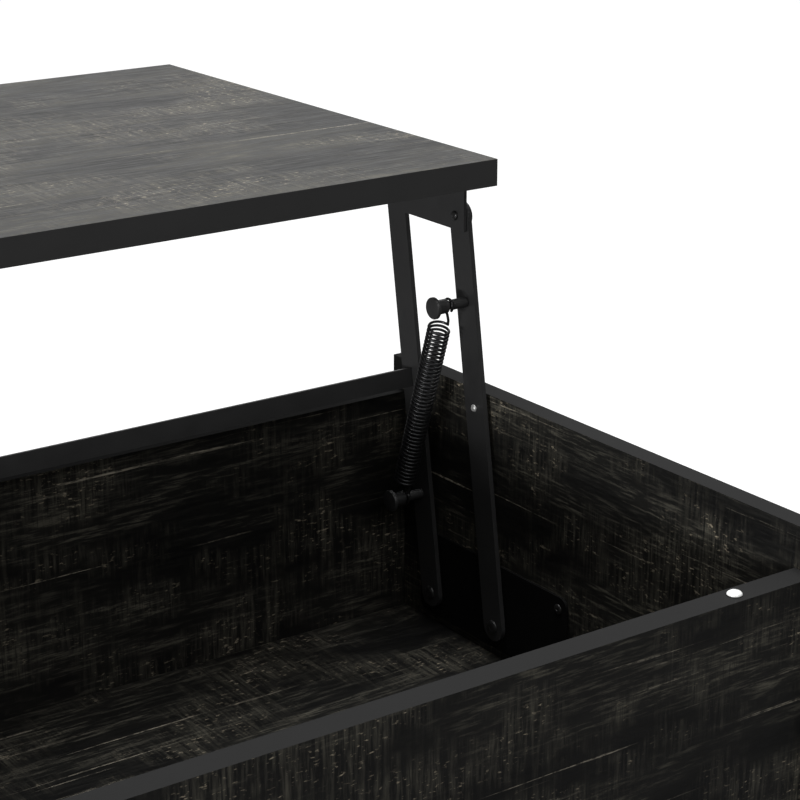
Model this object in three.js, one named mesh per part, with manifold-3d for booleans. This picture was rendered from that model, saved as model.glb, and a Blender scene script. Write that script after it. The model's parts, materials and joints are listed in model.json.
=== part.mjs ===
// Lift top coffee table, shown with its top raised and swung out over the front.
// Millimetres, +Z up, floor at Z = 0. The user sits at the front, on the -Y side; left is -X.
// Boards form an open box on a shelf. On each side two parallel arms carry the top, and a
// tension spring between studs on the two arms balances its weight.
import * as THREE from 'three';
import { mergeVertices } from 'three/addons/utils/BufferGeometryUtils.js';
import Module from 'manifold-3d';

const wasm = await Module();
wasm.setup();

// ---- Driving dimensions ----
const gap = 0.3;                 // seating clearance between pieces that touch
const width = 1000;              // over the side panels
const depth = 450;               // front to back, side panels and top alike
const rim = 450;                 // height of the side panels' rims above the floor

const sideBoard = 15;
const rearBoard = 18;
const topBoard = 18.8;
const shelfBoard = 15;

const rearRimDrop = 27.5;        // rear panel's rim, below the side rims
const frontRimDrop = 25;
const rearInset = 7.8;           // rear panel's outer face, in from the side panels' ends
const floorDrop = 199;           // compartment floor, below the side rims
const shelfTop = 75;             // lower shelf's upper face
const dividerInset = 10;         // from the shelf's front and rear edges
const railHeight = 45;
const railInset = 25;
const glideHeight = 4;
const glideRadius = 7;
const glideChamfer = 1;
const glideInset = 35;           // from the side panels' ends
const bumperRadius = 4.8;
const bumperHeight = 2.8;
const bumperInset = 59;          // from the side panels' inner faces
const topSideClearance = 2;
const topRestDrop = 24.2;        // underside of the closed top, below the side rims

// Parallel arms. Angles are for the raised top; the arms swing back and down to close it.
const armLength = 303.1;         // base pivot to top pivot
const armSpacing = 77;           // between the two arms' pivots
const armWidth = 21.4;
const armThickness = 3.5;
const eyeWide = 11.9;            // half axes of the arm's top end: across the arm, where it
const eyeLong = 10.4;            // stands out a little, and along it
const lean = THREE.MathUtils.degToRad(8.7);           // past upright, towards the front
const closedSlope = THREE.MathUtils.degToRad(23.57);  // above level, towards the rear
const frontPivotY = -166.7;
const rearPivotY = frontPivotY + armSpacing;
const basePivotDrop = 172.6;     // below the side rims

// Layers of one side's mechanism, as distances from the table's centre plane.
const plateSheet = 2;
const bracketSheet = 2.5;
const armInset = 4;              // arm's outer face, in from the side panel
const bracketClear = 0.5;
const half = width / 2;
const innerFace = half - sideBoard;
const plateOuter = innerFace - gap;
const plateInner = plateOuter - plateSheet;
const armOuter = innerFace - armInset;
const armInner = armOuter - armThickness;
const bracketOuter = armInner - bracketClear;
const bracketInner = bracketOuter - bracketSheet;

// Pivot rivets, wood screws, spring studs and the rest of the turned pieces. These are radii
// unless the name says otherwise; a shank is smaller than its hole by the gap.
const baseHole = 4.2;
const baseHead = 5.4;
const baseHeadHeight = 1.8;
const topHole = 3.2;
const topHead = 3.5;
const topHeadHeight = 1.5;
const topFlatHeight = 2.3;       // flat head on the arm's outer side
const shoulder = 6;              // base rivet's shoulder and top rivet's flat head
const screwHole = 2.4;
const screwHead = 3.8;
const screwHeadHeight = 1.3;
const screwSeat = 0.1;           // gap under a screw's head
const studHole = 3.2;
const rearStudAt = 241;          // along the rear arm from its base pivot
const frontStudAt = 78;
const studRadius = 3.8;
const studGroove = 3.2;          // radius under the spring's hook
const studCollar = 5.2;
const studHead = 7.9;
const studTip = 448;             // these four are distances from the centre plane
const collarStart = 451;
const collarEnd = 460.5;
const grooveEnd = 464.5;
const springPlane = 458.5;       // the coil's axis
const hookPlane = 462.5;         // the hooks, in the studs' grooves
const barAt = 167;               // cross bar, along the front arms
const studChamfer = 0.7;
const pinAt = 164;               // small pin on the rear arm
const pinHole = 1.8;
const pinHead = 2.8;
const pinHeadHeight = 1.5;
const barHeight = 14;
const barThickness = 3.2;

const armRise = armLength * (Math.cos(lean) - Math.sin(closedSlope));
const armTravel = armLength * (Math.sin(lean) + Math.cos(closedSlope));
const topUnder = rim - topRestDrop + armRise;
const topRear = depth / 2 - armTravel;
const topFront = topRear - depth;
const basePivotZ = rim - basePivotDrop;
const topPivotDY = -armLength * Math.sin(lean);
const topPivotZ = basePivotZ + armLength * Math.cos(lean);

// ---- Materials ----
function finish(color, roughness, metalness) {
  return new THREE.MeshStandardMaterial({ color, roughness, metalness });
}
const woodFilm = finish(0x2b2622, 0.55, 0);
const blackSteel = finish(0x1c1c1d, 0.42, 0.6);
const rivetSteel = finish(0x3a3a3c, 0.35, 0.8);
const springSteel = finish(0x6f7072, 0.3, 1);
const clearBumper = finish(0xe9e9e6, 0.3, 0);
const glidePlastic = finish(0x1a1a1a, 0.6, 0);

// ---- Assembly and helpers ----
const table = new THREE.Group();
// The origin is on the floor under the middle of the raised table's outline.
table.position.y = -(depth / 2 + topFront) / 2;

function place(name, geometry, material, parent = table) {
  const mesh = new THREE.Mesh(geometry, material);
  mesh.name = name;
  parent.add(mesh);
  return mesh;
}

// A board or block between two corners.
function block(x0, x1, y0, y1, z0, z1) {
  const geometry = new THREE.BoxGeometry(x1 - x0, y1 - y0, z1 - z0);
  return geometry.translate((x0 + x1) / 2, (y0 + y1) / 2, (z0 + z1) / 2);
}

// Extrudes an outline drawn in the YZ plane between two distances from the centre plane.
function plateAcross(shape, side, near, far) {
  const geometry = new THREE.ExtrudeGeometry(shape, {
    depth: far - near, bevelEnabled: false, curveSegments: 10,
  });
  const axes = new THREE.Matrix4().makeBasis(
    new THREE.Vector3(0, 1, 0), new THREE.Vector3(0, 0, 1), new THREE.Vector3(1, 0, 0));
  geometry.applyMatrix4(axes);
  return geometry.translate(side > 0 ? near : -far, 0, 0);
}

// Turns a profile of [radius, distance from the centre plane] points, listed from the
// outer end to the inner one, about a crosswise axis.
function turned(profile, side, y = 0, z = 0) {
  const points = profile.map(([radius, x]) => new THREE.Vector2(radius, x)).reverse();
  const geometry = new THREE.LatheGeometry(points, 16);
  geometry.rotateZ(-Math.PI / 2 * side);
  return geometry.translate(0, y, z);
}

// Turns a profile of [radius, height] points about an upright axis.
function turnedUpright(profile, x, y, z) {
  const points = profile.map(([radius, height]) => new THREE.Vector2(radius, height));
  return new THREE.LatheGeometry(points, 16).rotateX(Math.PI / 2).translate(x, y, z);
}

function round(radius, y, z) {
  const hole = new THREE.Path();
  hole.absarc(y, z, radius, 0, 2 * Math.PI, true);
  return hole;
}

function toSolid(geometry) {
  const bare = geometry.index ? geometry.toNonIndexed() : geometry.clone();
  bare.deleteAttribute('normal');
  bare.deleteAttribute('uv');
  const merged = mergeVertices(bare, 1e-4);
  return new wasm.Manifold(new wasm.Mesh({
    numProp: 3,
    vertProperties: new Float32Array(merged.attributes.position.array),
    triVerts: new Uint32Array(merged.index.array),
  }));
}

function fromSolid(solid) {
  const mesh = solid.getMesh();
  const geometry = new THREE.BufferGeometry();
  geometry.setAttribute('position', new THREE.BufferAttribute(mesh.vertProperties, 3));
  geometry.setIndex(new THREE.BufferAttribute(mesh.triVerts, 1));
  const faceted = geometry.toNonIndexed();
  faceted.computeVertexNormals();
  return faceted;
}

function domedHead(radius, face, height) {
  const steps = [0, 0.6, 0.9, 1];
  return steps.map((t) => [radius * Math.sqrt(1 - t * t), face - height * t]);
}

// ---- Boards ----
const boardZ = rim - floorDrop - shelfBoard;
const rearOuter = depth / 2 - rearInset;
const rearInner = rearOuter - rearBoard;
const frontInner = -depth / 2 + sideBoard;

function boards() {
  const glideTop = glideHeight - gap;
  const glide = [[0, 0], [glideRadius - glideChamfer, 0], [glideRadius, glideChamfer],
    [glideRadius, glideTop], [0, glideTop]];
  for (const [name, side] of [['left', -1], ['right', 1]]) {
    const x0 = side > 0 ? innerFace : -half;
    place(`side_panel_${name}`,
      block(x0, x0 + sideBoard, -depth / 2, depth / 2, glideHeight, rim), woodFilm);
    for (const [end, way] of [['front', -1], ['rear', 1]]) {
      place(`floor_glide_${end}_${name}`, turnedUpright(glide,
        side * (half - sideBoard / 2), way * (depth / 2 - glideInset), 0), glidePlastic);
    }
  }
  const x = innerFace - gap;
  place('rear_panel', block(-x, x, rearInner, rearOuter, boardZ, rim - rearRimDrop), woodFilm);
  place('front_panel',
    block(-x, x, -depth / 2, frontInner, boardZ, rim - frontRimDrop), woodFilm);
  place('compartment_floor',
    block(-x, x, frontInner + gap, rearInner - gap, boardZ, boardZ + shelfBoard), woodFilm);
  place('lower_shelf',
    block(-x, x, -depth / 2, rearOuter, shelfTop - shelfBoard, shelfTop), woodFilm);
  place('shelf_divider', block(-shelfBoard / 2, shelfBoard / 2,
    -depth / 2 + dividerInset, rearOuter - dividerInset, shelfTop + gap, boardZ - gap), woodFilm);
  const railTop = shelfTop - shelfBoard - gap;
  const frontRail = -depth / 2 + railInset;
  const rearRail = rearOuter - railInset;
  place('base_rail_front',
    block(-x, x, frontRail, frontRail + shelfBoard, railTop - railHeight, railTop), woodFilm);
  place('base_rail_rear',
    block(-x, x, rearRail - shelfBoard, rearRail, railTop - railHeight, railTop), woodFilm);
  place('top_panel', block(-innerFace + topSideClearance, innerFace - topSideClearance,
    topFront, topRear, topUnder, topUnder + topBoard), woodFilm);
}

// Clear domes on the rear rim, which the closed top comes down on.
function bumpers() {
  const steps = 4;
  const dome = [[0, gap]];
  for (let i = 0; i < steps; i += 1) {
    const angle = i / steps * Math.PI / 2;
    dome.push([bumperRadius * Math.cos(angle), gap + bumperHeight * Math.sin(angle)]);
  }
  dome.push([0, gap + bumperHeight]);
  for (const [name, side] of [['left', -1], ['right', 1]]) {
    place(`rear_bumper_${name}`, turnedUpright(dome, side * (innerFace - bumperInset),
      (rearInner + rearOuter) / 2, rim - rearRimDrop), clearBumper);
  }
}

// ---- Fixed plates with the base pivots ----
const plateFront = -186;
const plateRear = -13;
const plateTop = rim - 126;
const plateFoot = rim - 192;
const plateCorner = 8;
const screwInset = 9;
const plateScrews = [plateFront + screwInset, plateRear - screwInset].flatMap((y) => (
  [plateTop - screwInset, plateFoot + screwInset].map((z) => [y, z])));

function basePlateOutline() {
  const r = plateCorner;
  const shape = new THREE.Shape();
  shape.absarc(plateFront + r, plateFoot + r, r, Math.PI, 1.5 * Math.PI, false);
  shape.absarc(plateRear - r, plateFoot + r, r, 1.5 * Math.PI, 2 * Math.PI, false);
  shape.absarc(plateRear - r, plateTop - r, r, 0, 0.5 * Math.PI, false);
  shape.absarc(plateFront + r, plateTop - r, r, 0.5 * Math.PI, Math.PI, false);
  shape.closePath();
  shape.holes.push(round(baseHole, rearPivotY, basePivotZ));
  shape.holes.push(round(baseHole, frontPivotY, basePivotZ));
  for (const [y, z] of plateScrews) {
    shape.holes.push(round(screwHole, y, z));
  }
  return shape;
}

// A pivot rivet: shoulder between plate and arm, shank through both, domed inner head.
function baseRivet() {
  const shank = baseHole - gap;
  return [[0, plateOuter], [shank, plateOuter], [shank, plateInner - gap],
    [shoulder, plateInner - gap], [shoulder, armOuter + gap], [shank, armOuter + gap],
    [shank, armInner - gap], ...domedHead(baseHead, armInner - gap, baseHeadHeight)];
}

// Flat head against the arm's outer side, shank through arm and bracket, small domed head.
function topRivet() {
  const shank = topHole - gap;
  const flatOuter = armOuter + gap + topFlatHeight;
  return [[0, flatOuter], [shoulder, flatOuter], [shoulder, armOuter + gap],
    [shank, armOuter + gap], [shank, bracketInner - gap],
    ...domedHead(topHead, bracketInner - gap, topHeadHeight)];
}

// The screw's head stands on the plate; its shank goes through the plate only.
function plateScrew() {
  const shank = screwHole - gap;
  const seat = plateInner - screwSeat;
  return [[0, plateOuter], [shank, plateOuter], [shank, seat],
    ...domedHead(screwHead, seat, screwHeadHeight)];
}

function basePlate(name, side) {
  place(`base_plate_${name}`,
    plateAcross(basePlateOutline(), side, plateInner, plateOuter), blackSteel);
  for (const [end, y] of [['front', frontPivotY], ['rear', rearPivotY]]) {
    place(`base_rivet_${end}_${name}`, turned(baseRivet(), side, y, basePivotZ), rivetSteel);
  }
  plateScrews.forEach(([y, z], i) => {
    place(`plate_screw_${i + 1}_${name}`, turned(plateScrew(), side, y, z), rivetSteel);
  });
}

// ---- Arms, each drawn upright from its base pivot and then leaned forward ----
function armOutline(holes) {
  const halfWidth = armWidth / 2;
  const shoulders = Math.acos(halfWidth / eyeWide);
  const shape = new THREE.Shape();
  shape.absarc(0, 0, halfWidth, Math.PI, 2 * Math.PI, false);
  shape.absellipse(0, armLength, eyeWide, eyeLong, -shoulders, Math.PI + shoulders, false, 0);
  shape.closePath();
  shape.holes.push(round(baseHole, 0, 0));
  shape.holes.push(round(topHole, 0, armLength));
  for (const [radius, at] of holes) {
    shape.holes.push(round(radius, 0, at));
  }
  return shape;
}

function springStud() {
  return [[0, armOuter - gap], [studHole - gap, armOuter - gap],
    [studHole - gap, armInner - gap], [studRadius, armInner - gap], [studRadius, grooveEnd],
    [studGroove, grooveEnd - studChamfer], [studGroove, collarEnd + studChamfer],
    [studCollar, collarEnd], [studCollar, collarStart], [studHead, collarStart],
    [studHead, studTip + studChamfer], [studHead - studChamfer, studTip], [0, studTip]];
}

function armPin() {
  return [[0, armOuter - gap], [pinHole - gap, armOuter - gap],
    [pinHole - gap, armInner - gap], ...domedHead(pinHead, armInner - gap, pinHeadHeight)];
}

function arm(end, name, side, pivotY, studAt, holes) {
  const leaned = new THREE.Group();
  leaned.position.set(0, pivotY, basePivotZ);
  leaned.rotation.x = lean;
  table.add(leaned);
  place(`${end}_arm_${name}`,
    plateAcross(armOutline([[studHole, studAt], ...holes]), side, armInner, armOuter),
    blackSteel, leaned);
  place(`${end}_arm_stud_${name}`, turned(springStud(), side, 0, studAt), blackSteel, leaned);
  return leaned;
}

function crossBar(leaned) {
  const x = armInner - gap;
  place('cross_bar', block(-x, x, -barThickness / 2, barThickness / 2,
    barAt - barHeight / 2, barAt + barHeight / 2), blackSteel, leaned);
}

// ---- Brackets under the top: an angle with two pivot holes and three screw holes ----
const bracketDepth = 36.9;
const bracketRear = 10.3;        // beyond the rear pivot
const bracketFront = 5;          // beyond the front pivot
const flangeWidth = 22;
const flangeScrewX = 463;        // from the centre plane
const flangeScrewPitch = 36;
const boreMargin = 5;            // how far a drilled hole's cutter runs past the sheet

function topBracket(name, side) {
  const y1 = rearPivotY + topPivotDY + bracketRear;
  const y0 = frontPivotY + topPivotDY - bracketFront;
  const top = topUnder - gap;
  const xs = [side * bracketOuter, side * bracketInner].sort((a, b) => a - b);
  const fs = [side * bracketOuter, side * (bracketOuter - flangeWidth)].sort((a, b) => a - b);
  let solid = toSolid(block(xs[0], xs[1], y0, y1, top - bracketDepth, top));
  solid = solid.add(toSolid(block(fs[0], fs[1], y0, y1, top - bracketSheet, top)));
  for (const y of [frontPivotY, rearPivotY]) {
    const bore = [[0, bracketOuter + boreMargin], [topHole, bracketOuter + boreMargin],
      [topHole, bracketInner - boreMargin], [0, bracketInner - boreMargin]];
    solid = solid.subtract(toSolid(turned(bore, side, y + topPivotDY, topPivotZ)));
    place(`top_rivet_${y === frontPivotY ? 'front' : 'rear'}_${name}`,
      turned(topRivet(), side, y + topPivotDY, topPivotZ), rivetSteel);
  }
  const middle = (y0 + y1) / 2;
  const shank = screwHole - gap;
  const seat = -bracketSheet - screwSeat;
  const drill = [[0, -bracketSheet - boreMargin], [screwHole, -bracketSheet - boreMargin],
    [screwHole, boreMargin], [0, boreMargin]];
  const screw = [...domedHead(screwHead, seat, screwHeadHeight).reverse(),
    [shank, seat], [shank, 0], [0, 0]];
  for (const i of [1, 2, 3]) {
    const at = [side * flangeScrewX, middle + (i - 2) * flangeScrewPitch, top];
    solid = solid.subtract(toSolid(turnedUpright(drill, ...at)));
    place(`flange_screw_${i}_${name}`, turnedUpright(screw, ...at), rivetSteel);
  }
  place(`top_bracket_${name}`, fromSolid(solid), blackSteel);
}

// ---- Springs: a coil with a hook over a stud at each end ----
// Local frame: a stud at the origin, its axis along X, and the spring running along +Z.
const wireRadius = 1;
const coilRadius = 7.5;
const coilTurns = 42;
const coilSteps = 7;             // per turn
const hookSlack = 0.5;           // between the wire and the stud's groove
const hookRadius = studGroove + wireRadius + hookSlack;
const hookReach = 17;            // stud centre to the coil's first turn
const hookStart = -120;          // degrees round the stud, from its far side
const hookEnd = 150;
const hookStep = 15;
// Points on the shank: out towards the arm, across, and the fraction of the reach.
const hookShank = [[1.6, 1.2, 0.55], [3, 0.2, 0.78]];

// From the hook's open tip, round the stud's far side, to the end of its shank. The hook
// stands off to the arm's side of the spring's axis, and its shank runs into the coil there.
function hookPoints(side) {
  const offset = side * (hookPlane - springPlane);
  const points = [];
  for (let degrees = hookStart; degrees <= hookEnd; degrees += hookStep) {
    const turn = THREE.MathUtils.degToRad(degrees);
    points.push(new THREE.Vector3(
      offset, hookRadius * Math.sin(turn), -hookRadius * Math.cos(turn)));
  }
  for (const [outwards, across, fraction] of hookShank) {
    points.push(new THREE.Vector3(offset + side * outwards, across, hookReach * fraction));
  }
  return points;
}

function coilPoints(length, side) {
  const points = [];
  for (let i = 0; i <= coilTurns * coilSteps; i += 1) {
    const angle = 2 * Math.PI * i / coilSteps;
    const along = hookReach + length * i / (coilTurns * coilSteps);
    points.push(new THREE.Vector3(
      side * coilRadius * Math.cos(angle), coilRadius * Math.sin(angle), along));
  }
  return points;
}

// A path whose steps fall on its own points, so a tight hook gets as many as it needs.
class WirePath extends THREE.CatmullRomCurve3 {
  getUtoTmapping(u) {
    return u;
  }
}

function wire(points) {
  const section = new THREE.Shape();
  section.absarc(0, 0, wireRadius, 0, 2 * Math.PI, false);
  const path = new WirePath(points);
  return new THREE.ExtrudeGeometry(section, {
    steps: points.length - 1, extrudePath: path, curveSegments: 3, bevelEnabled: false,
  });
}

function spring(name, side) {
  const studOn = (pivotY, along) => new THREE.Vector3(side * springPlane,
    pivotY - along * Math.sin(lean), basePivotZ + along * Math.cos(lean));
  const upper = studOn(rearPivotY, rearStudAt);
  const lower = studOn(frontPivotY, frontStudAt);
  const span = upper.distanceTo(lower);
  const holder = new THREE.Group();
  holder.position.copy(upper);
  holder.rotation.x = Math.PI - Math.atan2(upper.y - lower.y, upper.z - lower.z);
  table.add(holder);
  const coil = wire([...hookPoints(side), ...coilPoints(span - 2 * hookReach, side)]);
  place(`spring_${name}`, coil, springSteel, holder);
  const hook = place(`spring_hook_${name}`, wire(hookPoints(side)), springSteel, holder);
  hook.position.z = span;
  hook.rotation.x = Math.PI;
}

boards();
bumpers();
for (const [name, side] of [['left', -1], ['right', 1]]) {
  basePlate(name, side);
  const rear = arm('rear', name, side, rearPivotY, rearStudAt, [[pinHole, pinAt]]);
  place(`rear_arm_pin_${name}`, turned(armPin(), side, 0, pinAt), rivetSteel, rear);
  const leaned = arm('front', name, side, frontPivotY, frontStudAt, []);
  if (side > 0) {
    crossBar(leaned);
  }
  topBracket(name, side);
  spring(name, side);
}

export default table;
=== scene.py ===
"""Lift top coffee table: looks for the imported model. Metres, same frame as the CAD."""
import json
import math

import bmesh
import bpy
from mathutils import Matrix, Vector


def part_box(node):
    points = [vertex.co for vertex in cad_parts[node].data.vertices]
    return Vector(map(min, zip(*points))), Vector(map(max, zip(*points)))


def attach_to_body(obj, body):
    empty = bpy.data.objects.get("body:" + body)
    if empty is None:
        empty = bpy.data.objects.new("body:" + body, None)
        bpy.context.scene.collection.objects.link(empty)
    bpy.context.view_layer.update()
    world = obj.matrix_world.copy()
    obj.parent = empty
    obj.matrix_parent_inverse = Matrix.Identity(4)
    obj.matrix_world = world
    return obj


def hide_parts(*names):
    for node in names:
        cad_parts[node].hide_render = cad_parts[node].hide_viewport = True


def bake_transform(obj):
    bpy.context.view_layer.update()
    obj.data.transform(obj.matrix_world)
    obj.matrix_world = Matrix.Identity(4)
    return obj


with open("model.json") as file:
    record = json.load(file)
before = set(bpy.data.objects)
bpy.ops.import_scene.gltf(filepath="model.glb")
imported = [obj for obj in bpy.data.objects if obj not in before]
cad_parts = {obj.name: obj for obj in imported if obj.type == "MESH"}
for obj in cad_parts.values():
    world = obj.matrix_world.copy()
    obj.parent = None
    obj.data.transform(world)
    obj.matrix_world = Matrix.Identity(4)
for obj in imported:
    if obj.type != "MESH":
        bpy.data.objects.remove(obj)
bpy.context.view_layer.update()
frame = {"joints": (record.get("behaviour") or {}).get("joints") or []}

MM = 0.001
SIDES = (("left", -1), ("right", 1))
joint_at = {j["name"]: Vector(j["pos_m"]) for j in frame["joints"] if j.get("pos_m")}


# ---------- Mesh helpers ----------

def mesh_object(name, bm, material, smooth=True):
    """Closes a bmesh into an object of its own, with outward faces."""
    bmesh.ops.recalc_face_normals(bm, faces=bm.faces)
    mesh = bpy.data.meshes.new(name)
    bm.to_mesh(mesh)
    bm.free()
    for face in mesh.polygons:
        face.use_smooth = smooth
    mesh.materials.append(material)
    obj = bpy.data.objects.new(name, mesh)
    bpy.context.scene.collection.objects.link(obj)
    return obj


def middle(node):
    low, high = (Vector(corner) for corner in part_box(node))
    return (low + high) / 2


def bevel(obj, width, segments=2):
    modifier = obj.modifiers.new("worn edge", "BEVEL")
    modifier.width = width
    modifier.segments = segments
    modifier.limit_method = "ANGLE"
    modifier.angle_limit = math.radians(40)


def keep_edges_crisp(obj, degrees=35):
    """Marks the corners of a smooth-shaded mesh as sharp."""
    limit = math.radians(degrees)
    bm = bmesh.new()
    bm.from_mesh(obj.data)
    for edge in bm.edges:
        edge.smooth = edge.calc_face_angle(0) < limit
    bm.to_mesh(obj.data)
    bm.free()


def turned(name, profile, origin, axis, material, segments=40):
    """Turns [radius, distance along axis] points about the axis through origin."""
    bm = bmesh.new()
    rings = []
    for radius, along in profile:
        if radius < 1e-7:
            rings.append([bm.verts.new((0, 0, along))])
            continue
        ring = []
        for i in range(segments):
            angle = 2 * math.pi * i / segments
            ring.append(bm.verts.new((radius * math.cos(angle), radius * math.sin(angle), along)))
        rings.append(ring)
    for a, b in zip(rings, rings[1:]):
        for i in range(segments):
            corners = [a[i % len(a)], a[(i + 1) % len(a)], b[(i + 1) % len(b)], b[i % len(b)]]
            bm.faces.new(list(dict.fromkeys(corners)))
    turn = Vector((0, 0, 1)).rotation_difference(Vector(axis)).to_matrix().to_4x4()
    bm.transform(Matrix.Translation(origin) @ turn)
    obj = mesh_object(name, bm, material)
    keep_edges_crisp(obj)
    return obj


def tube(name, points, radius, material, sides=12):
    """Sweeps a round wire along the points, with closed ends."""
    bm = bmesh.new()
    rings = []
    side = None
    for i, point in enumerate(points):
        ahead = points[min(i + 1, len(points) - 1)] - points[max(i - 1, 0)]
        ahead.normalize()
        if side is None:
            side = ahead.orthogonal()
        side = (side - ahead * side.dot(ahead)).normalized()
        up = ahead.cross(side)
        ring = []
        for k in range(sides):
            angle = 2 * math.pi * k / sides
            spoke = side * math.cos(angle) + up * math.sin(angle)
            ring.append(bm.verts.new(point + spoke * radius))
        rings.append(ring)
    for a, b in zip(rings, rings[1:]):
        for k in range(sides):
            bm.faces.new((a[k], a[(k + 1) % sides], b[(k + 1) % sides], b[k]))
    bm.faces.new(rings[0][::-1])
    bm.faces.new(rings[-1])
    return mesh_object(name, bm, material)


# ---------- Material helpers ----------

class Nodes:
    """Adds shader nodes to one material and links them by socket name."""

    def __init__(self, name):
        self.material = bpy.data.materials.new(name)
        self.material.use_nodes = True
        self.tree = self.material.node_tree
        self.shader = self.tree.nodes["Principled BSDF"]

    def add(self, kind, settings=None, **inputs):
        node = self.tree.nodes.new(kind)
        for key, value in (settings or {}).items():
            setattr(node, key, value)
        for key, value in inputs.items():
            self.feed(node.inputs[key.replace("_", " ")], value)
        return node

    def feed(self, socket, value):
        if isinstance(value, bpy.types.NodeSocket):
            self.tree.links.new(value, socket)
        else:
            socket.default_value = value

    def stretched(self, scale, shift=(0, 0, 0)):
        """Object coordinates with a scale for each axis."""
        place = self.add("ShaderNodeTexCoord").outputs["Object"]
        return self.add("ShaderNodeMapping", Vector=place, Scale=scale, Location=shift).outputs[0]

    def noise(self, vector, scale, detail=4.0, roughness=0.55, distortion=0.0):
        node = self.add("ShaderNodeTexNoise", Vector=vector, Scale=scale, Detail=detail,
                        Roughness=roughness, Distortion=distortion)
        return node.outputs["Fac"]

    def ramp(self, value, *stops):
        """Maps a number through (position, grey or colour) stops."""
        node = self.add("ShaderNodeValToRGB", Fac=value)
        elements = node.color_ramp.elements
        while len(elements) < len(stops):
            elements.new(0.5)
        for element, (position, tone) in zip(elements, stops):
            element.position = position
            element.color = (tone, tone, tone, 1) if isinstance(tone, float) else (*tone, 1)
        return node.outputs["Color"]

    def mix(self, factor, a, b, how="MIX"):
        node = self.add("ShaderNodeMix", {"data_type": "RGBA", "blend_type": how})
        self.feed(node.inputs[0], factor)
        self.feed(node.inputs[6], a)
        self.feed(node.inputs[7], b)
        return node.outputs[2]

    def math(self, operation, a, b=0.0):
        node = self.add("ShaderNodeMath", {"operation": operation})
        self.feed(node.inputs[0], a)
        self.feed(node.inputs[1], b)
        return node.outputs[0]

    def bump(self, height, strength, distance):
        node = self.add("ShaderNodeBump", Height=height, Strength=strength, Distance=distance)
        self.feed(self.shader.inputs["Normal"], node.outputs[0])


AXES = {"X": 0, "Y": 1, "Z": 2}


def along(grain, fine, coarse):
    """A scale of coarse along the grain's axis and fine across it."""
    return tuple(coarse if AXES[grain] == i else fine for i in range(3))


# Tones of the printed film, from its ground to its palest streaks.
GROUND_DARK = (0.0025, 0.0025, 0.0025, 1)
GROUND_LIGHT = (0.012, 0.0117, 0.0103, 1)
COMBED_TONE = (0.062, 0.058, 0.046, 1)
WORN_TONE = (0.095, 0.089, 0.070, 1)
MARK_TONE = (0.0045, 0.0045, 0.0045, 1)
FLECK_TONE = (0.29, 0.25, 0.185, 1)
STREAK_TONE = (0.36, 0.325, 0.26, 1)
EDGING_SPREAD = 1.3              # lightest part of a board's edging against its darkest
EDGING_ROUGHNESS = (0.9, 0.9, 0.9, 1)
FILM_RELIEF = 0.0002             # metres
FILM_SHINE = 0.25
FACE_LIMIT = 0.9                 # how squarely a face lies across its axis to carry the film


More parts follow.
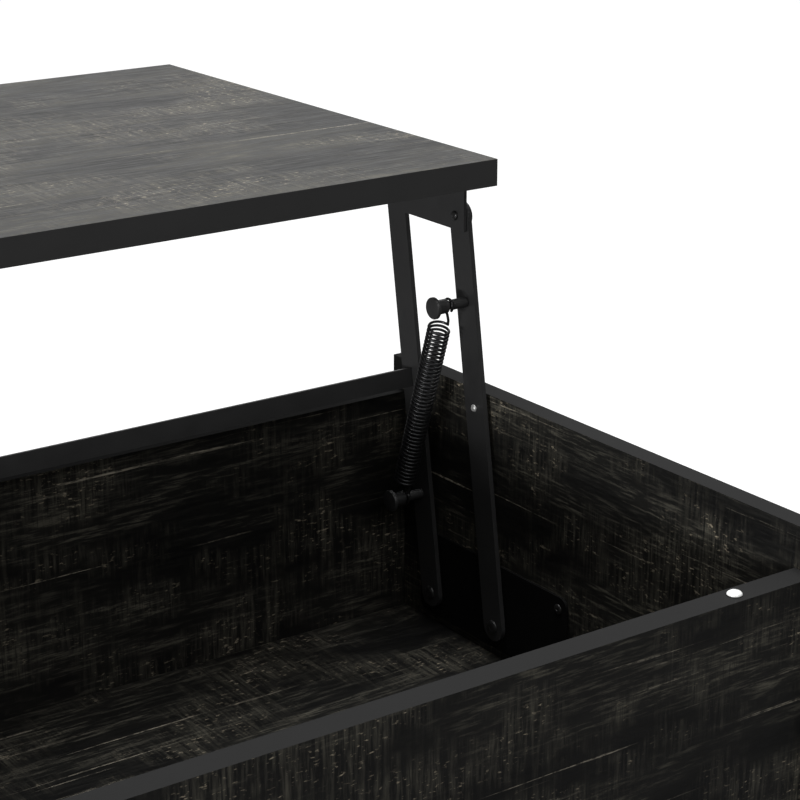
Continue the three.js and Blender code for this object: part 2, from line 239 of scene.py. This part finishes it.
def wood_film(name, face, grain, shift, edge):
    """Printed film on a board: near-black, with worn patches combed across the grain, pale
    fibres and long streaks along it, and beige flecks. The narrow edges are plain edging of
    the brightness edge."""
    n = Nodes(name)
    cross = "Y" if face == "Z" else "Z"
    if grain == cross:
        cross = "Y"
    broad = n.noise(n.stretched(along(grain, 26, 5), shift), 1.0, 5.0, 0.6, 0.4)
    patch = n.noise(n.stretched(along(grain, 15, 9), shift), 1.0, 4.0, 0.65)
    band = n.noise(n.stretched(along(grain, 42, 2.6), shift), 1.0, 3.0, 0.5)
    fibre = n.noise(n.stretched(along(grain, 420, 34), shift), 1.0, 4.0, 0.7)
    comb = n.noise(n.stretched(along(cross, 300, 22), shift), 1.0, 5.0, 0.7)
    saw = n.noise(n.stretched(along(cross, 620, 46), shift), 1.0, 3.0, 0.6)
    fleck = n.noise(n.stretched(along(grain, 520, 180), shift), 1.0, 3.0, 0.6)
    streak = n.noise(n.stretched(along(grain, 230, 3.2), shift), 1.0, 4.0, 0.6, 0.2)

    base = n.mix(n.ramp(broad, (0.36, 0.0), (0.66, 1.0)),
                 GROUND_DARK, GROUND_LIGHT)
    combed = n.math("MULTIPLY", n.ramp(comb, (0.44, 0.0), (0.66, 1.0)),
                    n.ramp(patch, (0.46, 0.0), (0.60, 1.0)))
    base = n.mix(combed, base, COMBED_TONE)
    worn = n.math("MULTIPLY", n.ramp(fibre, (0.50, 0.0), (0.64, 1.0)),
                  n.ramp(broad, (0.46, 0.04), (0.60, 0.8)))
    base = n.mix(worn, base, WORN_TONE)
    marks = n.math("MULTIPLY", n.ramp(saw, (0.50, 0.0), (0.64, 0.75)),
                   n.ramp(patch, (0.44, 0.1), (0.56, 1.0)))
    base = n.mix(marks, base, MARK_TONE)
    flecks = n.math("MULTIPLY", n.ramp(fleck, (0.60, 0.0), (0.70, 1.0)),
                    n.ramp(patch, (0.50, 0.0), (0.62, 1.0)))
    base = n.mix(flecks, base, FLECK_TONE)
    lines = n.math("MULTIPLY", n.ramp(streak, (0.64, 0.0), (0.71, 1.0)),
                   n.ramp(fleck, (0.40, 0.15), (0.56, 1.0)))
    lines = n.math("MULTIPLY", lines, n.ramp(band, (0.44, 0.15), (0.60, 1.0)))
    base = n.mix(lines, base, STREAK_TONE)

    lighter = EDGING_SPREAD * edge
    edging = n.mix(n.noise(n.stretched((30, 30, 30)), 1.0), (edge, edge, edge, 1),
                   (lighter, lighter, lighter, 1))
    normal = n.add("ShaderNodeTexCoord").outputs["Normal"]
    facing = n.add("ShaderNodeSeparateXYZ", Vector=normal).outputs[face]
    on_face = n.math("GREATER_THAN", n.math("ABSOLUTE", facing), FACE_LIMIT)
    n.feed(n.shader.inputs["Base Color"], n.mix(on_face, edging, base))
    gloss = n.mix(on_face, EDGING_ROUGHNESS, n.ramp(fibre, (0.35, 0.44), (0.65, 0.62)))
    n.feed(n.shader.inputs["Roughness"], gloss)
    relief = n.math("ADD", fibre, n.math("SUBTRACT", lines, n.math("MULTIPLY", marks, 0.6)))
    n.bump(n.math("MULTIPLY", relief, on_face), 0.4, FILM_RELIEF)
    n.shader.inputs["Specular IOR Level"].default_value = FILM_SHINE
    return n.material


def steel(name, low, high, roughness, metallic, shine=0.5):
    """Painted or plated metal: a faint mottle, and a fine orange-peel surface."""
    n = Nodes(name)
    mottle = n.noise(n.stretched((60, 60, 60)), 1.0, 4.0)
    n.feed(n.shader.inputs["Base Color"], n.mix(mottle, (*low, 1), (*high, 1)))
    n.feed(n.shader.inputs["Roughness"],
           n.ramp(mottle, (0.3, roughness), (0.7, roughness + 0.12)))
    n.shader.inputs["Metallic"].default_value = metallic
    n.shader.inputs["Specular IOR Level"].default_value = shine
    n.bump(n.noise(n.stretched((1, 1, 1)), 900.0, 2.0), 0.25, 0.00008)
    return n.material


def plastic(name, low, high, roughness, clear=0.0):
    """Moulded plastic; clear is how much light spreads inside it."""
    n = Nodes(name)
    cloud = n.noise(n.stretched((1, 1, 1)), 220.0, 3.0)
    n.feed(n.shader.inputs["Base Color"], n.mix(cloud, (*low, 1), (*high, 1)))
    n.feed(n.shader.inputs["Roughness"],
           n.ramp(cloud, (0.3, roughness), (0.7, roughness + 0.1)))
    n.shader.inputs["Subsurface Weight"].default_value = clear
    n.shader.inputs["Subsurface Radius"].default_value = (0.002, 0.002, 0.002)
    n.bump(cloud, 0.15, 0.00005)
    return n.material


BLACK_STEEL = steel("black steel", (0.017, 0.017, 0.0172), (0.022, 0.022, 0.0224), 0.4, 0.0)
# Near-black copy of the black steel, with little shine: painted shade for the base plates, which
# sit in the compartment's dark corner.
SHADED_BLACK_STEEL = steel("black steel darkened for painted shade", (0.0015, 0.0015, 0.0015), (0.002, 0.002, 0.002), 0.6,
                   0.0, 0.15)
RIVET_STEEL = steel("rivet steel", (0.012, 0.012, 0.012), (0.02, 0.02, 0.02), 0.3, 0.3)
SPRING_STEEL = steel("spring steel", (0.02, 0.02, 0.021), (0.05, 0.05, 0.052), 0.3, 0.8)
# Pale steel for the pins: its tone is raised so that the pin shows as a bright spot, a painted
# glint.
GLINT_PIN_STEEL = steel("pin steel with painted glint", (0.5, 0.5, 0.49), (0.65, 0.65, 0.64), 0.35, 0.6)
CLEAR_BUMPER = plastic("clear bumper", (0.72, 0.73, 0.72), (0.86, 0.86, 0.85), 0.18, 0.6)
GLIDE_PLASTIC = plastic("glide plastic", (0.012, 0.012, 0.012), (0.02, 0.02, 0.02), 0.5)


# ---------- Boards ----------

BOARDS = {                       # node: (axis of its faces, axis of its grain)
    "top_panel": ("Z", "X"), "rear_panel": ("Y", "X"), "front_panel": ("Y", "X"),
    "compartment_floor": ("Z", "X"), "lower_shelf": ("Z", "X"), "shelf_divider": ("X", "Z"),
    "base_rail_front": ("Y", "X"), "base_rail_rear": ("Y", "X"),
    "side_panel_left": ("X", "Y"), "side_panel_right": ("X", "Y"),
}


def finish_node(node, material, width=0.0):
    obj = bpy.data.objects[node]
    obj.data.materials.clear()
    obj.data.materials.append(material)
    if width:
        bevel(obj, width)


BOARD_BEVEL = 0.5 * MM
EDGE_BRIGHTNESS = 0.007
TOP_EDGE_BRIGHTNESS = 0.023
FILM_SHIFT = Vector((1.7, 0.9, 0.4))     # between one board's pattern and the next one's


def boards():
    for i, (node, (face, grain)) in enumerate(BOARDS.items()):
        edge = TOP_EDGE_BRIGHTNESS if node == "top_panel" else EDGE_BRIGHTNESS
        film = wood_film(f"film {node}", face, grain, FILM_SHIFT * i, edge)
        finish_node(node, film, BOARD_BEVEL)


# ---------- Lift mechanism ----------

SHEET_BEVEL = 0.4 * MM
BAR_BEVEL = 1.1 * MM
SHOULDER = 6 * MM                # radius of a base rivet's shoulder, a top rivet's flat head


def steelwork():
    for name, _ in SIDES:
        # The base plates take the darkened copy of the black steel, a painted shade.
        finish_node(f"base_plate_{name}", SHADED_BLACK_STEEL, SHEET_BEVEL)
        for node in ("rear_arm", "front_arm", "top_bracket"):
            finish_node(f"{node}_{name}", BLACK_STEEL, SHEET_BEVEL)
    finish_node("cross_bar", BLACK_STEEL, BAR_BEVEL)


def attach(piece, node, body):
    """Makes a piece ride on a body in place of its CAD node."""
    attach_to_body(piece, body)
    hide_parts(node)


def crosswise(node, side):
    """The outer end of a piece turned about a crosswise axis, and the piece's length."""
    low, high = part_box(node)
    centre = middle(node)
    outer = high[0] if side > 0 else low[0]
    return (outer, centre.y, centre.z), high[0] - low[0]


# Spring studs: radii, and distances back from the head's face.
TENON = 2.8 * MM
TENON_LENGTH = 3.7 * MM
SHAFT = 3.8 * MM
GROOVE = 3.2 * MM
COLLAR = 5.2 * MM
NECK = 4.6 * MM
HEAD = 7.9 * MM
HEAD_BACK = 3 * MM
COLLAR_BACK = 12.5 * MM
GROOVE_BACK = 16.5 * MM
SOFTENING = 0.5 * MM             # edge rounding on the stud's head


def stud(node, body, side):
    """A spring stud: shaft, groove for the hook, collar, and a broad flat head."""
    end, length = crosswise(node, side)
    head = length - HEAD_BACK
    collar = length - COLLAR_BACK
    groove = length - GROOVE_BACK
    profile = [
        (0, 0), (TENON, 0), (TENON, TENON_LENGTH), (SHAFT, TENON_LENGTH + 0.1 * MM),
        (SHAFT, groove - 0.5 * MM), (GROOVE, groove),
        (GROOVE, collar - 0.6 * MM), (NECK, collar),
        (COLLAR, collar + 0.6 * MM), (COLLAR, head - 1.2 * MM),
        (NECK, head - 0.8 * MM), (NECK, head), (HEAD - SOFTENING, head),
        (HEAD, head + SOFTENING), (HEAD, length - 0.7 * MM),
        (HEAD - 0.3 * MM, length - 0.2 * MM), (HEAD - 0.8 * MM, length), (0, length),
    ]
    piece = turned(f"{node}_turned", profile, end, (-side, 0, 0), BLACK_STEEL)
    attach(piece, node, body)


def head_profile(radius, face, height, dimple):
    """A domed head with a shallow dimple in its middle, from rim to axis."""
    steps = 8
    flattening = 0.55
    top = face + height
    points = []
    for i in range(steps + 1):
        t = math.pi / 2 * i / steps
        points.append((radius * (1 - flattening * (1 - math.cos(t))),
                       face + height * math.sin(t)))
    points.append((radius * 0.3, top - 0.05 * MM))
    points.append((radius * 0.22, top - dimple))
    points.append((0, top - dimple))
    return points


# Rivets, pins and screws: (radius, height) of a head, (start, end) of a shoulder.
BASE_SHANK = 3.85 * MM
BASE_SHOULDER = (2.3 * MM, 3.4 * MM)
BASE_HEAD = (5.4 * MM, 1.8 * MM)
TOP_SHANK = 2.85 * MM
TOP_FLAT_HEAD = (0, 2.3 * MM)
TOP_HEAD = (3.5 * MM, 1.5 * MM)
RIVET_DIMPLE = 0.3 * MM
PIN_SHANK = 1.5 * MM
PIN_HEAD = (2.8 * MM, 1.5 * MM)
PIN_DIMPLE = 0.1 * MM
SCREW_SHANK = 2.1 * MM
SCREW_HEAD = (3.8 * MM, 1.3 * MM)
SCREW_RECESS = 0.5 * MM
SMALL_SEGMENTS = 24


def rivet(node, body, side, shank, shoulder, head):
    """A pivot rivet: a shoulder or flat head along the shank, then a domed head."""
    outer_end, length = crosswise(node, side)
    radius, height = head
    face = length - height
    start, end = shoulder
    profile = [(0, 0)]
    if start > 0:
        profile += [(shank, 0), (shank, start)]
    profile += [(SHOULDER, start), (SHOULDER, end), (shank, end), (shank, face)]
    profile += head_profile(radius, face, height, RIVET_DIMPLE)
    piece = turned(f"{node}_turned", profile, outer_end, (-side, 0, 0), RIVET_STEEL)
    attach(piece, node, body)


def pin(node, body, side):
    """A small domed pin in the rear arm, in pale steel that paints its glint."""
    outer_end, length = crosswise(node, side)
    radius, height = PIN_HEAD
    face = length - height
    profile = [(0, 0), (PIN_SHANK, 0), (PIN_SHANK, face)]
    profile += head_profile(radius, face, height, PIN_DIMPLE)
    piece = turned(f"{node}_turned", profile, outer_end, (-side, 0, 0), GLINT_PIN_STEEL,
                   SMALL_SEGMENTS)
    attach(piece, node, body)


def screw(node, body, axis):
    """A pan-head screw with a round recess; axis points out of its head."""
    low, high = (Vector(corner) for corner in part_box(node))
    centre = (low + high) / 2
    axis = Vector(axis)
    length = abs((high - low).dot(axis))
    start = centre - axis * length / 2
    radius, height = SCREW_HEAD
    face = length - height
    profile = [(0, 0), (SCREW_SHANK, 0), (SCREW_SHANK, face)]
    profile += head_profile(radius, face, height, SCREW_RECESS)
    piece = turned(f"{node}_turned", profile, start, axis, RIVET_STEEL, SMALL_SEGMENTS)
    attach(piece, node, body)


def fasteners():
    for name, side in SIDES:
        for end, body in (("rear", f"rear_arm_{name}"), ("front", "front_arms")):
            stud(f"{end}_arm_stud_{name}", body, side)
            rivet(f"base_rivet_{end}_{name}", "cabinet", side, BASE_SHANK, BASE_SHOULDER,
                  BASE_HEAD)
            rivet(f"top_rivet_{end}_{name}", "tabletop", side, TOP_SHANK, TOP_FLAT_HEAD,
                  TOP_HEAD)
        pin(f"rear_arm_pin_{name}", f"rear_arm_{name}", side)
        for i in range(1, 5):
            screw(f"plate_screw_{i}_{name}", "cabinet", (-side, 0, 0))
        for i in range(1, 4):
            screw(f"flange_screw_{i}_{name}", "tabletop", (0, 0, -1))


# ---------- Springs ----------

WIRE = 1.0 * MM
COIL = 7.5 * MM
TURNS = 42
HOOK = 4.7 * MM
HOOK_OFFSET = 4 * MM             # from the spring's axis towards the arm
REACH = 17 * MM                  # stud centre to the coil's first turn
HOOK_START = -120                # degrees round the stud, and how far the hook goes round
HOOK_SWEEP = 270
SHANK_BEND = Vector((1.6 * MM, 0.6 * MM, REACH * 0.5))
SHANK_END = Vector((3 * MM, 0.1 * MM, REACH * 0.78))
SHANK_STEPS = 10


def hook_points(side, steps=40):
    """A hook round a stud at the origin, then a shank towards +Z and the coil's first turn."""
    offset = side * HOOK_OFFSET
    points = []
    for i in range(steps + 1):
        turn = math.radians(HOOK_START + HOOK_SWEEP * i / steps)
        points.append(Vector((offset, HOOK * math.sin(turn), -HOOK * math.cos(turn))))
    tip = points[-1]
    bend = Vector((offset + side * SHANK_BEND.x, SHANK_BEND.y, SHANK_BEND.z))
    end = Vector((offset + side * SHANK_END.x, SHANK_END.y, SHANK_END.z))
    for i in range(1, SHANK_STEPS + 1):
        t = i / SHANK_STEPS
        points.append((1 - t) ** 2 * tip + 2 * t * (1 - t) * bend + t * t * end)
    return points


def coil_points(length, side, steps=24):
    points = []
    total = TURNS * steps
    for i in range(total + 1):
        angle = 2 * math.pi * i / steps
        points.append(Vector((side * COIL * math.cos(angle), COIL * math.sin(angle),
                              REACH + length * i / total)))
    return points


def springs():
    for name, side in SIDES:
        upper = joint_at[f"spring_{name}_hinge"]
        lower = joint_at[f"spring_{name}_stretch"]
        run = lower - upper
        turn = Matrix.Rotation(math.atan2(-run.y, run.z), 4, "X")
        place = Matrix.Translation(upper) @ turn
        points = hook_points(side) + coil_points(run.length - 2 * REACH, side)
        coil = tube(f"spring_coil_{name}", [place @ p for p in points], WIRE, SPRING_STEEL)
        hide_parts(f"spring_{name}")
        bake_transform(coil)
        flip = Matrix.Translation(lower) @ turn @ Matrix.Rotation(math.pi, 4, "X")
        ends = [flip @ p for p in hook_points(side)]
        hook = tube(f"spring_end_{name}", ends, WIRE, SPRING_STEEL)
        attach(hook, f"spring_hook_{name}", f"spring_hook_{name}")


# ---------- Small plastic parts ----------

FOOT = 0.3 * MM                  # height of the dome's straight foot
DOME_STEPS = 8
GLIDE_BEVEL = 0.3 * MM


def plastics():
    for name, _ in SIDES:
        node = f"rear_bumper_{name}"
        low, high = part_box(node)
        centre = middle(node)
        height = high[2] - low[2]
        radius = (high[0] - low[0]) / 2
        profile = [(0, 0), (radius * 0.94, 0), (radius, FOOT)]
        for i in range(1, DOME_STEPS):
            t = math.pi / 2 * i / DOME_STEPS
            profile.append((radius * math.cos(t), FOOT + (height - FOOT) * math.sin(t)))
        profile.append((0, height))
        dome = turned(f"{node}_dome", profile, (centre.x, centre.y, low[2]), (0, 0, 1),
                      CLEAR_BUMPER, 32)
        attach(dome, node, "cabinet")
        for end in ("front", "rear"):
            finish_node(f"floor_glide_{end}_{name}", GLIDE_PLASTIC, GLIDE_BEVEL)


# ---------- Stage ----------

WORLD_LIGHT = 0.12
FLOOR_TONE = (0.15, 0.15, 0.15, 1)
FLOOR_GLOW = 0.97                # seen by the camera only, so that the floor looks white
FLOOR_REACH = 40                 # metres


def stage():
    n = Nodes("studio floor")
    n.shader.inputs["Base Color"].default_value = FLOOR_TONE
    n.shader.inputs["Roughness"].default_value = 0.9
    n.shader.inputs["Specular IOR Level"].default_value = 0.0
    n.shader.inputs["Emission Color"].default_value = (1, 1, 1, 1)
    seen = n.add("ShaderNodeLightPath").outputs["Is Camera Ray"]
    n.feed(n.shader.inputs["Emission Strength"], n.math("MULTIPLY", seen, FLOOR_GLOW))
    bm = bmesh.new()
    bmesh.ops.create_grid(bm, x_segments=1, y_segments=1, size=FLOOR_REACH)
    mesh_object("studio_floor", bm, n.material, False)
    world = bpy.data.worlds.new("studio")
    world.use_nodes = True
    # The backdrop is white to look at, and dim as a light.
    tree = world.node_tree
    seen = tree.nodes.new("ShaderNodeLightPath").outputs["Is Camera Ray"]
    strength = tree.nodes.new("ShaderNodeMath")
    strength.operation = "MULTIPLY_ADD"
    tree.links.new(seen, strength.inputs[0])
    strength.inputs[1].default_value = 1 - WORLD_LIGHT
    strength.inputs[2].default_value = WORLD_LIGHT
    background = tree.nodes["Background"]
    background.inputs["Color"].default_value = (1, 1, 1, 1)
    tree.links.new(strength.outputs[0], background.inputs["Strength"])
    bpy.context.scene.world = world
    bpy.context.scene.view_settings.view_transform = "Standard"


def area_light(name, at, target, size, power):
    light = bpy.data.lights.new(name, "AREA")
    light.shape = "RECTANGLE"
    light.size, light.size_y = size
    light.energy = power
    obj = bpy.data.objects.new(name, light)
    obj.location = at
    obj.rotation_euler = (Vector(target) - Vector(at)).to_track_quat("-Z", "Y").to_euler()
    bpy.context.scene.collection.objects.link(obj)


LIGHTS = (                       # name, place, target, size in metres, power in watts
    ("overhead", (-0.3, -0.1, 3.2), (0, 0, 0.4), (2.2, 2.0), 140),
    ("rear fill", (0.2, 3.0, 2.9), (0, 0, 0.4), (3.0, 1.2), 34),
    ("front sheen", (-1.9, -2.7, 1.9), (0, -0.2, 0.6), (3.4, 1.6), 26),
    ("low side", (3.0, 0.9, 0.51), (-0.5, -0.2, 0.51), (1.4, 0.14), 80),
)


def lights():
    for light in LIGHTS:
        area_light(*light)


LENS = 99.9                      # millimetres on a 36 mm sensor
CAMERA_X = 0.4365
CAMERA_BEHIND = 1.079            # metres behind the middle of the side panels
CAMERA_ABOVE = 0.503             # metres above their rims
CAMERA_LOOK = (-0.549, -0.772, -0.320)


def camera():
    data = bpy.data.cameras.new("camera")
    data.sensor_width = 36
    data.lens = LENS
    data.clip_end = 200
    obj = bpy.data.objects.new("camera", data)
    table_middle = middle("side_panel_left").y
    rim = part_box("side_panel_left")[1][2]
    obj.location = (CAMERA_X, table_middle + CAMERA_BEHIND, rim + CAMERA_ABOVE)
    obj.rotation_euler = Vector(CAMERA_LOOK).to_track_quat("-Z", "Y").to_euler()
    bpy.context.scene.collection.objects.link(obj)
    bpy.context.scene.camera = obj


camera()
lights()
stage()
boards()
steelwork()
fasteners()
springs()
plastics()
